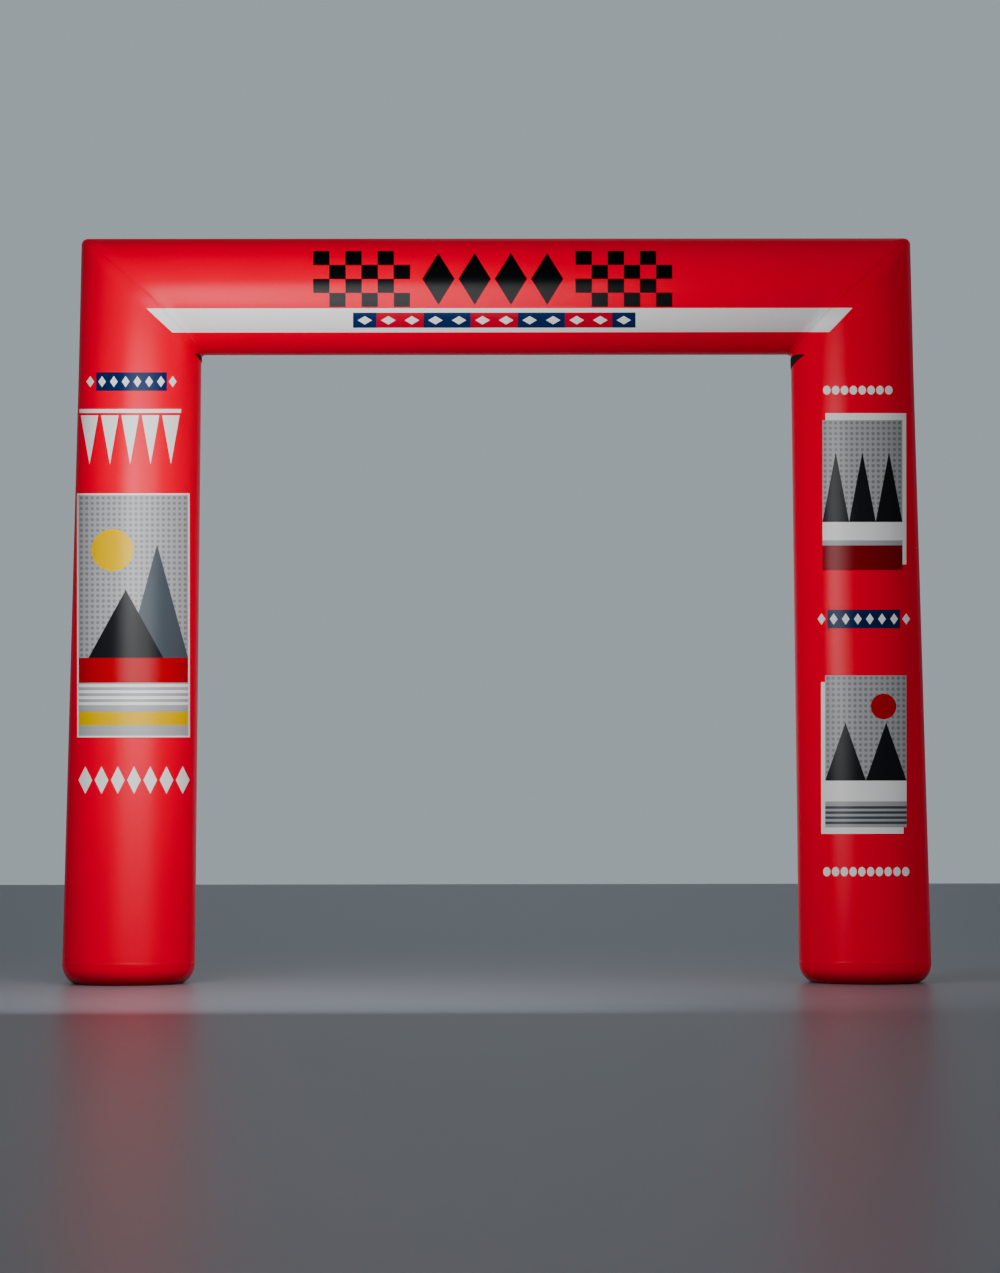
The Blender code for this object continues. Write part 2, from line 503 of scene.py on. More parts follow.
def finish_tube(tree, given, mesh, place, cloth_map, flipped):
    """Move the unit tube's points to their places and keep the cloth's own map."""
    mapped = add_node(
        tree, "GeometryNodeStoreNamedAttribute",
        {"data_type": "FLOAT2", "domain": "CORNER"},
        Geometry=mesh, Name="cloth", Value=cloth_map,
    )
    moved = add_node(
        tree, "GeometryNodeSetPosition", Geometry=mapped.outputs[0], Position=place
    )
    turned = add_node(
        tree, "GeometryNodeFlipFaces", Mesh=moved.outputs[0], Selection=flipped
    )
    end_tree(tree, turned.outputs[0], given["Cloth"])


def leg_tree():
    """A leg's tube: straight up from the foot seam with a slight taper, then turning
    over on the corner's radius as far as the mitre seam."""
    tree, given = geometry_tree("Leg tube", TUBE_INPUTS)
    rows, low_rows = given["Rows"], given["Seam Rows"]
    all_rows = rows + given["Corner Rows"]
    mesh, round_share, outward, backward, rise = tube_blank(tree, given, all_rows)

    ring = (rise + 1) * 0.5 * all_rows
    low = (ring / low_rows).math("MINIMUM", 1)
    straight = ((ring - low_rows) / (rows - low_rows)).math("MAXIMUM", 0)
    straight = straight.math("MINIMUM", 1)
    turn = (ring - rows).math("MAXIMUM", 0) / given["Corner Rows"] * MITRE_TURN
    drawn_across, drawn_down, _ = corner_cloth(given, outward, turn)

    bottom = given["Foot Height"] + given["Seam Gap"]
    lip_rise = given["Lip Width"] * LIP_ROWS_REACH
    top = given["Bar Height"] + given["Bar Half Height"] * outward - drawn_down
    height = bottom + low * lip_rise + (top - bottom - lip_rise) * straight
    taper = (height - given["Foot Height"]) / (given["Taper Top"] - given["Foot Height"])
    slimming = (given["Tube Radius"] - given["Foot Radius"]) * taper.math("MINIMUM", 1)
    radius = given["Foot Radius"] + slimming

    lip = raised_lip(given, height - bottom)
    across = given["Leg Axis"] + (radius + lip) * outward - drawn_across
    place = vector(tree, given["Side"] * across, (radius + lip) * backward, height)
    girth = given["Tube Radius"] * math.tau
    to_viewers_right = (round_share - 0.5) * girth * given["Side"]
    cloth_map = vector(tree, to_viewers_right, height, 0)
    mirrored = given["Side"].under(0)
    finish_tube(tree, given, mesh, place, cloth_map, mirrored)
    return tree


def bar_tree():
    """The crossbar's tube, from mitre seam to mitre seam. Its folded allowance lies on
    its own side of each seam."""
    tree, given = geometry_tree("Crossbar tube", TUBE_INPUTS)
    half_rows = given["Rows"] * 0.5
    all_rows = given["Rows"] + given["Corner Rows"] * 2
    mesh, round_share, outward, backward, rise = tube_blank(tree, given, all_rows)

    ring = rise.math("ABSOLUTE") * 0.5 * all_rows
    straight = (ring / half_rows).math("MINIMUM", 1)
    turned = (ring - half_rows).math("MAXIMUM", 0) / given["Corner Rows"]
    turn = math.pi / 2 - turned * (math.pi / 2 - MITRE_TURN)
    drawn_across, drawn_down, bend = corner_cloth(given, outward, turn)

    lip = raised_lip(given, bend * (turn - MITRE_TURN))
    lip_across = lip * outward * turn.math("COSINE")
    lip_up = lip * outward * turn.math("SINE")
    reach = given["Leg Axis"] + given["Tube Radius"] * outward - drawn_across
    reach = (reach + lip_across - given["Seam Gap"] * turned) * straight
    height = given["Bar Height"] + given["Bar Half Height"] * outward - drawn_down
    height = height + lip_up + given["Seam Gap"] * turned
    across = reach * rise.math("SIGN")
    depth = (given["Tube Radius"] + lip) * backward
    girth = given["Tube Radius"] * math.tau
    cloth_map = vector(tree, across, (round_share - 0.5) * girth, 0)
    finish_tube(tree, given, mesh, vector(tree, across, depth, height), cloth_map, True)
    return tree


def stitch_tree():
    """Stitches in a row along a path, each turned along it and lying on the cloth."""
    tree, given = geometry_tree("Stitch row", STITCH_INPUTS)
    path = add_node(tree, "GeometryNodeMeshToCurve", Mesh=given["Geometry"])
    spaced = add_node(
        tree, "GeometryNodeResampleCurve", {"mode": "LENGTH"},
        Curve=path.outputs[0], Length=given["Pitch"],
    )
    points = add_node(
        tree, "GeometryNodeCurveToPoints", {"mode": "EVALUATED"}, Curve=spaced.outputs[0]
    )
    cloth = add_node(tree, "GeometryNodeObjectInfo", Object=given["Cloth"])
    normal = tree.nodes.new("GeometryNodeInputNormal")
    lying = add_node(
        tree, "GeometryNodeSampleNearestSurface", {"data_type": "FLOAT_VECTOR"},
        Mesh=cloth.outputs["Geometry"], Value=normal.outputs[0],
    )
    tangent = points.outputs["Tangent"]
    along = add_node(
        tree, "FunctionNodeAlignRotationToVector", {"axis": "X"}, Vector=tangent
    )
    upright = add_node(
        tree, "FunctionNodeAlignRotationToVector", {"axis": "Z", "pivot_axis": "X"},
        Rotation=along.outputs[0], Vector=lying.outputs["Value"],
    )
    chance = add_node(
        tree, "FunctionNodeRandomValue", {"data_type": "FLOAT"}, Seed=given["Seed"]
    )
    sway = Field(tree, chance.outputs["Value"])
    for slot in chance.inputs:
        if slot.name == "Min" and slot.type == "VALUE":
            feed(slot, -given["Wander"])
        if slot.name == "Max" and slot.type == "VALUE":
            feed(slot, given["Wander"])
    crooked = add_node(
        tree, "FunctionNodeAxisAngleToRotation", Axis=(0, 0, 1), Angle=sway
    )
    turned = add_node(
        tree, "FunctionNodeRotateRotation", {"rotation_space": "LOCAL"},
        Rotation=upright.outputs[0], Rotate_By=crooked.outputs[0],
    )
    stitch = add_node(
        tree, "GeometryNodeMeshUVSphere",
        Segments=STITCH_SEGMENTS, Rings=STITCH_RINGS, Radius=0.5,
    )
    size = vector(tree, given["Length"], given["Thickness"], given["Thickness"])
    placed = add_node(
        tree, "GeometryNodeInstanceOnPoints", Points=points.outputs["Points"],
        Instance=stitch.outputs["Mesh"], Rotation=turned.outputs[0], Scale=size,
    )
    end_tree(tree, placed.outputs[0], given["Thread"])
    return tree


def add_object(name, data):
    """A new object in the scene."""
    added = bpy.data.objects.new(name, data)
    bpy.context.scene.collection.objects.link(added)
    return added


def run_tree(name, tree, values, start=None):
    """Run a tree on a new object and keep the result as the object's plain mesh."""
    made = add_object(name, start or bpy.data.meshes.new(name))
    slots = {
        item.name: item.identifier
        for item in tree.interface.items_tree
        if item.in_out == "INPUT"
    }
    nodes = made.modifiers.new(tree.name, "NODES")
    nodes.node_group = tree
    for label, value in values.items():
        nodes[slots[label]] = value
    bpy.context.view_layer.update()
    whole = made.evaluated_get(bpy.context.evaluated_depsgraph_get())
    mesh = bpy.data.meshes.new_from_object(whole)
    if not mesh.polygons:
        raise RuntimeError(f"{name}: the tree {tree.name} made no faces")
    made.modifiers.remove(nodes)
    finish = mesh.materials[-1]
    mesh.materials.clear()
    mesh.materials.append(finish)
    mesh.polygons.foreach_set("material_index", [0] * len(mesh.polygons))
    mesh.name = name
    mesh.shade_smooth()
    mesh.set_sharp_from_angle(angle=SHARP_ANGLE)
    made.data = mesh
    return made


def tube_values(scene, side, rows, cloth):
    """The tube trees' inputs. Each takes the setting of its name, but for the side, the
    rows and the cloth."""
    values = {"Side": float(side), "Rows": rows, "Cloth": cloth}
    for label in (*TUBE_SIZES, *TUBE_COUNTS):
        group = scene.arch_sewing if label.startswith("Lip") else scene.arch_shape
        if label not in values:
            values[label] = getattr(group, label.lower().replace(" ", "_"))
    return values


# ---------------------------------------------------------------- finishes

# The print's colours
INKS = {
    "white": (0.85, 0.86, 0.86, 1),
    "black": (0.004, 0.005, 0.006, 1),
    "navy": (0.003, 0.026, 0.120, 1),
    "red_ink": (0.60, 0.010, 0.035, 1),
    "crimson": (0.52, 0.006, 0.014, 1),
    "maroon": (0.28, 0.006, 0.012, 1),
    "pale": (0.42, 0.43, 0.44, 1),
    "slat": (0.26, 0.27, 0.285, 1),
    "slate": (0.085, 0.105, 0.125, 1),
    "charcoal": (0.018, 0.020, 0.024, 1),
    "yellow": (0.78, 0.50, 0.012, 1),
}

# The coated cloth's surface, with heights in metres
CLOTH_IOR = 1.5
CLOTH_SPECULAR = 0.42
PATCH_ROUGHNESS = 0.55
UNEVEN_NOISE = (2.3, 3.0)  # scale and detail
UNEVEN_HEIGHT, UNEVEN_SHADE, UNEVEN_DULLNESS = 0.0005, 0.05, 0.06
GRAIN_NOISE = (46.0, 2.0)
GRAIN_SHADE, GRAIN_DULLNESS = 0.03, 0.05
WEAVE_HEIGHT, WEAVE_SHADE = 0.00006, 0.02
# PUCKER_SHADE is painted shade: the cloth is painted darker near the seams, for the shade
# of the puckers
PUCKER_HEIGHT, PUCKER_SHADE = 0.00035, 0.02
PUCKER_NEAR, PUCKER_FAR = 0.004, 0.075  # the puckers fade out between these distances
PUCKER_RATE = 95  # in radians for each metre along the seam
PUCKER_WANDER = 16  # in radians, with the cloth's unevenness
ALONG_ANY_SEAM = (0.31, 1, 0.62)  # a slant that runs along the mitres and the rings alike

# Painted shade: the feet are darker towards the ground, for the shade where they stand on
# the floor
FOOT_SHADE_COLOUR = (0.05, 0.0008, 0.002, 1)
FOOT_SHADE_STRENGTH = 0.6
FOOT_SHADE_SHARE = 0.8  # of the foot's height

# Spun thread
TWIST_RATE = 5200  # in radians for each metre
TWIST_HEIGHT, TWIST_SHADE = 0.00008, 0.12
THREAD_NOISE, THREAD_SHADE = (60.0, 2.0), 0.5
THREAD_ROUGHNESS, THREAD_SHEEN = 0.5, 0.2
DARK_THREAD = (0.03, 0.036, 0.036)  # on the corner patches


def point_place(tree):
    """The socket of each point's place in its piece's own coordinates."""
    return tree.nodes.new("ShaderNodeTexCoord").outputs["Object"]


def mottle(tree, spot, scale, detail):
    """Soft noise round zero."""
    noise = add_node(tree, "ShaderNodeTexNoise", Vector=spot, Scale=scale, Detail=detail)
    return Field(tree, noise.outputs[0]) - 0.5


def shaded(tree, colour, shade):
    """A colour made lighter or darker."""
    toned = add_node(tree, "ShaderNodeVectorMath", {"operation": "SCALE"})
    feed(toned.inputs[0], colour)
    feed(toned.inputs["Scale"], shade)
    return toned.outputs[0]


def raised(tree, height):
    """The normal of a surface with a fine relief."""
    bump = add_node(
        tree, "ShaderNodeBump", Strength=1.0, Distance=1.0, Height=height
    )
    return bump.outputs[0]


def motif_mask(across, up, row):
    """1 where the print's motif lies, and 0 elsewhere."""
    width, height = row.right - row.left, row.high - row.low
    inside = across.near((row.left + row.right) / 2, width / 2)
    inside = inside * up.near((row.low + row.high) / 2, height / 2)
    columns = (across - row.left) * (row.columns / width)
    rows = (up - row.low) * (row.rows / height)
    if row.motif == "chequer":
        steps = columns.math("FLOOR") + rows.math("FLOOR")
        return inside * steps.math("FLOORED_MODULO", 2)
    sideways = (columns.math("FRACT") - 0.5) * (2 / row.fill)
    upward = (rows.math("FRACT") - 0.5) * (2 / (row.fill if row.rows > 1 else 1))
    reach = sideways.math("ABSOLUTE")
    if row.motif == "box":
        if row.rows > 1:
            return inside * upward.near(0, 1)
        return inside * reach.under(1) if row.columns > 1 else inside
    if row.motif == "disc":
        return inside * (sideways * sideways + upward * upward).under(1)
    if row.motif == "diamond":
        return inside * (reach + upward.math("ABSOLUTE")).under(1)
    if row.motif == "pennant":
        return inside * (reach - (upward + 1) * 0.5).under(0)
    if row.motif == "peak":
        return inside * (reach - (1 - upward) * 0.5).under(0)
    raise ValueError(f"no motif is called {row.motif}")


def artwork_place(tree):
    """Where the artwork's plane is seen through each point of the cloth: across and up,
    and 1 on the arch's front."""
    x, y, z = parts(tree, point_place(tree))
    eye = ARTWORK_EYE
    level, tilted = math.cos(ARTWORK_LEAN), math.sin(ARTWORK_LEAN)
    away = (y - eye.y) * level + (z - eye.z) * tilted
    risen = (z - eye.z) * level - (y - eye.y) * tilted
    spread = (-eye.y / level) / away
    across = (x - eye.x) * spread + eye.x
    up = risen * spread + ARTWORK_HEIGHT
    return across, up, y.under(0)


def band_mask(across, up):
    """1 on the white band with its slanting ends."""
    share = (up - BAND_LOW) / (BAND_HIGH - BAND_LOW)
    left, right = (
        share * (high - low) + low for low, high in zip(BAND_ENDS_LOW, BAND_ENDS_HIGH)
    )
    beyond_left = (left - across).under(0)
    before_right = (across - right).under(0)
    inside = share.near(0.5, 0.5)
    return inside * beyond_left * before_right


def paint(tree, under, mask, colour):
    """One colour laid over another where the mask says."""
    mix = add_node(tree, "ShaderNodeMix", {"data_type": "RGBA"})
    feed(mix.inputs["Factor"], mask)
    feed(mix.inputs[6], under)
    feed(mix.inputs[7], colour)
    return mix.outputs[2]


def surface_group():
    """The coated cloth's surface: its weave, its faint unevenness and the puckers that
    the stitching draws along the seams, with painted shade darkening the cloth beside them."""
    tree = bpy.data.node_groups.new("Coated cloth", "ShaderNodeTree")
    for label, kind in (
        ("Colour", "NodeSocketColor"), ("Map", "NodeSocketVector"),
        ("Pitch", FLOAT), ("Roughness", FLOAT), ("Seam", FLOAT),
    ):
        tree.interface.new_socket(label, in_out="INPUT", socket_type=kind)
    for label, kind in (
        ("Colour", "NodeSocketColor"), ("Roughness", FLOAT),
        ("Normal", "NodeSocketVector"),
    ):
        tree.interface.new_socket(label, in_out="OUTPUT", socket_type=kind)
    given = tree.nodes.new("NodeGroupInput").outputs
    way_out = tree.nodes.new("NodeGroupOutput")
    across, up, _ = parts(tree, given["Map"])
    pitch = Field(tree, given["Pitch"])

    warp = (across * math.pi / pitch).math("SINE")
    weft = (up * math.pi / pitch).math("SINE")
    weave = (warp * weft).math("ABSOLUTE")
    spot = point_place(tree)
    unevenness = mottle(tree, spot, *UNEVEN_NOISE)
    grain = mottle(tree, spot, *GRAIN_NOISE)

    pull = 1 - Field(tree, given["Seam"]).fade(PUCKER_NEAR, PUCKER_FAR)
    x, y, z = (part * slant for part, slant in zip(parts(tree, spot), ALONG_ANY_SEAM))
    ripple = ((x + y + z) * PUCKER_RATE + unevenness * PUCKER_WANDER).math("SINE")
    relief = weave * WEAVE_HEIGHT + ripple * pull * PUCKER_HEIGHT
    relief = relief + unevenness * UNEVEN_HEIGHT
    shade = 1 + unevenness * UNEVEN_SHADE + grain * GRAIN_SHADE
    # Painted shade: the cloth is darker near the seams, for the shade of the puckers
    shade = shade + weave * WEAVE_SHADE - pull * PUCKER_SHADE
    dull = Field(tree, given["Roughness"])
    dull = dull + unevenness * UNEVEN_DULLNESS + grain * GRAIN_DULLNESS
    feed(way_out.inputs["Colour"], shaded(tree, given["Colour"], shade))
    feed(way_out.inputs["Roughness"], dull)
    feed(way_out.inputs["Normal"], raised(tree, relief))
    return tree


def principled(material):
    """The material's shader and its tree."""
    material.use_nodes = True
    tree = material.node_tree
    return tree, tree.nodes["Principled BSDF"]


def coated_material(name, colour, cloth, prints=None, roughness=None, shade_below=0.0):
    """Coated cloth with its prints. The distance to the seam comes from the piece's own
    attribute, and the weave follows its own map. The last argument is the height up to
    which the cloth is painted darker towards the ground, as painted shade where it meets
    the floor."""
    material = bpy.data.materials.new(name)
    tree, shader = principled(material)
    shown = (*colour, 1)
    if prints:
        across, up, front = artwork_place(tree)
        shown = paint(tree, shown, band_mask(across, up) * front, INKS["white"])
        for row in prints:
            mask = motif_mask(across, up, row) * front
            shown = paint(tree, shown, mask, INKS[row.ink])
    # Painted shade: the cloth is darker towards the ground, for the shade where the feet
    # meet the floor
    if shade_below:
        height = parts(tree, point_place(tree))[2]
        dark = (1 - height.fade(0.0, shade_below)) * FOOT_SHADE_STRENGTH
        shown = paint(tree, shown, dark, FOOT_SHADE_COLOUR)
    cloth_map = add_node(tree, "ShaderNodeUVMap", {"uv_map": "cloth"}).outputs[0]
    seam = add_node(tree, "ShaderNodeAttribute", {"attribute_name": "seam"})
    surface = tree.nodes.new("ShaderNodeGroup")
    surface.node_tree = bpy.data.node_groups["Coated cloth"]
    feed(surface.inputs["Colour"], shown)
    feed(surface.inputs["Map"], cloth_map)
    feed(surface.inputs["Pitch"], cloth.thread_pitch)
    feed(surface.inputs["Roughness"], roughness or cloth.roughness)
    feed(surface.inputs["Seam"], seam.outputs["Fac"])
    feed(shader.inputs["Base Color"], surface.outputs["Colour"])
    feed(shader.inputs["Roughness"], surface.outputs["Roughness"])
    feed(shader.inputs["Normal"], surface.outputs["Normal"])
    shader.inputs["IOR"].default_value = CLOTH_IOR
    shader.inputs["Specular IOR Level"].default_value = CLOTH_SPECULAR
    return material


def thread_material(name, colour):
    """Spun thread: a fine twist along each stitch."""
    material = bpy.data.materials.new(name)
    tree, shader = principled(material)
    spot = point_place(tree)
    x, y, z = parts(tree, spot)
    twist = ((x + y + z) * TWIST_RATE).math("SINE")
    shade = 1 + twist * TWIST_SHADE + mottle(tree, spot, *THREAD_NOISE) * THREAD_SHADE
    feed(shader.inputs["Base Color"], shaded(tree, colour, shade))
    feed(shader.inputs["Normal"], raised(tree, twist * TWIST_HEIGHT))
    shader.inputs["Roughness"].default_value = THREAD_ROUGHNESS
    shader.inputs["Sheen Weight"].default_value = THREAD_SHEEN
    return material


# ---------------------------------------------------------------- pieces


def keep_distance_to_seam(piece, distance):
    """Store each point's distance to the nearest seam for the cloth's puckers."""
    held = piece.data.attributes.new("seam", "FLOAT", "POINT")
    held.data.foreach_set("value", [distance(v.co) for v in piece.data.vertices])


def mitre_distance(shape, spot):
    """Distance of a point on the cloth from the mitre plane on its side."""
    slope = shape.bar_half_height / shape.tube_radius
    off = spot.z - shape.bar_height - slope * (abs(spot.x) - shape.leg_axis)
    return abs(off) / math.hypot(1, slope)


def dress(piece, slot, *nodes):
    """A finished piece rides on the arch's one body and stands for its CAD nodes."""
    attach(piece, BODY)
    if nodes:
        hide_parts(*nodes)


class ARCH_OT_legs(bpy.types.Operator):
    """Sew the two leg tubes with their prints"""

    bl_idname = "arch.legs"
    bl_label = "Leg tubes"

    def execute(self, context):
        scene = context.scene
        shape, cloth = scene.arch_shape, scene.arch_cloth
        tree = leg_tree()
        for word, side in SIDES.items():
            name = f"leg_{word}_print"
            finish = coated_material(name, cloth.red, cloth, LEG_PRINTS[word])
            values = tube_values(scene, side, shape.leg_rows, finish)
            leg = run_tree(f"leg_{word}_cloth", tree, values)
            keep_distance_to_seam(
                leg,
                lambda spot: min(
                    mitre_distance(shape, spot), abs(spot.z - shape.foot_height)
                ),
            )
            dress(leg, "printed_cloth", f"leg_{word}")
        return {"FINISHED"}


class ARCH_OT_crossbar(bpy.types.Operator):
    """Sew the crossbar tube with its prints"""

    bl_idname = "arch.crossbar"
    bl_label = "Crossbar tube"

    def execute(self, context):
        scene = context.scene
        shape, cloth = scene.arch_shape, scene.arch_cloth
        finish = coated_material("crossbar_print", cloth.red, cloth, BAR_PRINTS)
        values = tube_values(scene, 1, shape.bar_rows, finish)
        bar = run_tree("crossbar_cloth", bar_tree(), values)
        keep_distance_to_seam(bar, lambda spot: mitre_distance(shape, spot))
        dress(bar, "printed_cloth", "crossbar")
        return {"FINISHED"}


FOOT_RINGS = 28
SOLE_RINGS = 6


def foot_outline(shape):
    """A foot's side from its seam down and in to the edge of the flat sole, and on to
    the middle: (radius, height) pairs."""
    radius = shape.foot_height / math.sin(FOOT_TURN)
    centre = shape.foot_radius - radius
    outline = []
    for step in range(FOOT_RINGS + 1):
        turn = FOOT_TURN * step / FOOT_RINGS
        height = shape.foot_height - radius * math.sin(turn)
        outline.append((centre + radius * math.cos(turn), max(height, 0.0)))
    edge = outline[-1][0]
    for step in range(1, SOLE_RINGS):
        outline.append((edge * (1 - step / SOLE_RINGS), 0.0))
    return outline


def turned_mesh(name, middle, outline, columns):
    """A closed turned body from its outline, with a map in metres of its own."""
    made = bmesh.new()
    cloth_map = made.loops.layers.uv.new("cloth")
    rings = []
    for radius, height in outline:
        ring = []
        for column in range(columns):
            angle = math.tau * column / columns
            x = middle + radius * math.cos(angle)
            ring.append(made.verts.new((x, radius * math.sin(angle), height)))
        rings.append(ring)
    girth = math.tau * outline[0][0]
    run = 0.0
    for upper, lower in zip(range(len(rings)), range(1, len(rings))):
        step = math.dist(outline[upper], outline[lower])
        for column in range(columns):
            beside = (column + 1) % columns
            face = made.faces.new((
                rings[upper][column], rings[lower][column],
                rings[lower][beside], rings[upper][beside],
            ))
            for loop, share, down in zip(face.loops, (0, 0, 1, 1), (0, 1, 1, 0)):
                loop[cloth_map].uv = ((column + share) / columns * girth, run + step * down)
        run += step
    made.faces.new(rings[0])
    made.faces.new(rings[-1][::-1])
    bmesh.ops.recalc_face_normals(made, faces=made.faces)
    mesh = bpy.data.meshes.new(name)
    made.to_mesh(mesh)
    made.free()
    mesh.shade_smooth()
    mesh.set_sharp_from_angle(angle=SHARP_ANGLE)
    return mesh


class ARCH_OT_feet(bpy.types.Operator):
    """Sew the two rounded feet"""

    bl_idname = "arch.feet"
    bl_label = "Feet"

    def execute(self, context):
        scene = context.scene
        shape, cloth = scene.arch_shape, scene.arch_cloth
        # The feet's cloth gets painted shade towards the ground
        finish = coated_material(
            "foot_cloth", cloth.foot_red, cloth, shade_below=shape.foot_height * FOOT_SHADE_SHARE
        )
        for word, side in SIDES.items():
            mesh = turned_mesh(
                f"foot_{word}_cloth", side * shape.leg_axis, foot_outline(shape),
                shape.columns,
            )
            foot = add_object(mesh.name, mesh)
            mesh.materials.append(finish)
            keep_distance_to_seam(foot, lambda spot: abs(spot.z - shape.foot_height))
            dress(foot, "foot_cloth", f"foot_{word}")
        return {"FINISHED"}


PATCH_CELLS_ROUND = 48
PATCH_CELLS_UP = 10
UNPUCKERED = 1.0  # a distance to the seam that is past all puckers


def leg_radius(shape, height):
    """The leg's radius at a height."""
    share = (height - shape.foot_height) / (shape.taper_top - shape.foot_height)
    return shape.foot_radius + (shape.tube_radius - shape.foot_radius) * min(1, share)


def patch_depth(patch, fullness):
    """A patch's depth: fullness is 1 at its middle and 0 at its tips."""
    return PATCH_TIP_DEPTH + (patch.depth - PATCH_TIP_DEPTH) * fullness


def patch_half_length(shape, patch):
    """Half a patch's length along the leg's cloth."""
    return patch.half_angle * shape.tube_radius


def patch_spot(shape, patch, along, up, lift):
    """A point on a patch. along and up run from -1 to 1 over it, and lift is the
    height over the leg's cloth."""
    depth = patch_depth(patch, math.cos(along * math.pi / 2))
    height = patch.middle + up * depth / 2
    angle = math.pi + patch.half_angle * along
    radius = leg_radius(shape, height) + lift
    across = shape.leg_axis + radius * math.cos(angle)
    return Vector((SIDES[patch.side] * across, radius * math.sin(angle), height))


def patch_mesh(shape, patch, name):
    """A patch's outer face, with its own map in metres."""
    grid = bmesh.new()
    cloth_map = grid.loops.layers.uv.new("cloth")
    bmesh.ops.create_grid(
        grid, x_segments=PATCH_CELLS_ROUND, y_segments=PATCH_CELLS_UP, size=1
    )
    half_length = patch_half_length(shape, patch)
    for face in grid.faces:
        for loop in face.loops:
            along, up = loop.vert.co.x, loop.vert.co.y
            loop[cloth_map].uv = (along * half_length, up * patch.depth / 2)
    for vertex in grid.verts:
        along, up = vertex.co.x, vertex.co.y
        vertex.co = patch_spot(shape, patch, along, up, shape.seam_gap)
    grid.normal_update()
    if grid.faces[:][0].normal.x * SIDES[patch.side] > 0:
        bmesh.ops.reverse_faces(grid, faces=grid.faces)
    mesh = bpy.data.meshes.new(name)
    grid.to_mesh(mesh)
    grid.free()
    mesh.shade_smooth()
    return mesh


class ARCH_OT_patches(bpy.types.Operator):
    """Sew the dark patches into the inner corners"""

    bl_idname = "arch.patches"
    bl_label = "Corner patches"

    def execute(self, context):
        scene = context.scene
        shape, cloth = scene.arch_shape, scene.arch_cloth
        finish = coated_material(
            "patch_cloth", cloth.patch_grey, cloth, roughness=PATCH_ROUGHNESS
        )
        for patch in PATCHES:
            name = f"patch_{patch.side}_cloth"
            piece = add_object(name, patch_mesh(shape, patch, name))
            piece.data.materials.append(finish)
            thick = piece.modifiers.new("Thickness", "SOLIDIFY")
            thick.thickness = PATCH_THICKNESS
            thick.offset = 1
            keep_distance_to_seam(piece, lambda spot: UNPUCKERED)
            dress(piece, "patch_cloth", f"patch_{patch.side}")
        return {"FINISHED"}


# ---------------------------------------------------------------- stitching

STITCH_ROWS = (0.0030, 0.0090)  # distance of each row from its seam
STITCH_WANDER = math.radians(3.0)  # how far a stitch may lie askew

# Fixed seeds for how each row's stitches lie. The right side's mitre, foot and back rows
# take one more than the left's, and both patches share one.
MITRE_SEED, FOOT_SEED, BACK_SEED, BAR_SEED, PATCH_SEED = 0, 2, 4, 6, 7


def path_mesh(name, runs):
    """Open or closed paths as a mesh of edges: (points, closed) pairs."""
    mesh = bpy.data.meshes.new(name)
    points, edges = [], []
    for run, closed in runs:
        first = len(points)
        points += run
        edges += [(first + k, first + k + 1) for k in range(len(run) - 1)]
        if closed:
            edges.append((len(points) - 1, first))
    mesh.from_pydata(points, edges, [])
    return mesh


def beside_seam(piece, columns, rings, distance):
    """A closed path round a tube at a distance from its seam. rings starts with the
    ring at the seam and goes away from it."""
    vertices = piece.data.vertices
    path = []
    for column in range(columns):
        walked = 0.0
        for nearer, farther in zip(rings, rings[1:]):
            start = vertices[nearer * columns + column].co
            end = vertices[farther * columns + column].co
            step = (end - start).length
            if walked + step >= distance:
                path.append(start.lerp(end, (distance - walked) / step))
                break
            walked += step
    return path


def cloth_column(piece, columns, rings, column):
    """The points along a tube's cloth at one column."""
    return [piece.data.vertices[k * columns + column].co.copy() for k in range(rings)]


def sew(scene, name, tree, runs, cloth, thread, seed):
    """One piece of stitching along its paths."""
    sewing = scene.arch_sewing
    values = {
        "Cloth": cloth, "Pitch": sewing.pitch, "Length": sewing.length,
        "Thickness": sewing.thickness, "Wander": STITCH_WANDER, "Seed": seed,
        "Thread": thread,
    }
    rows = run_tree(name, tree, values, path_mesh(f"{name}_path", runs))
    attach(rows, BODY)


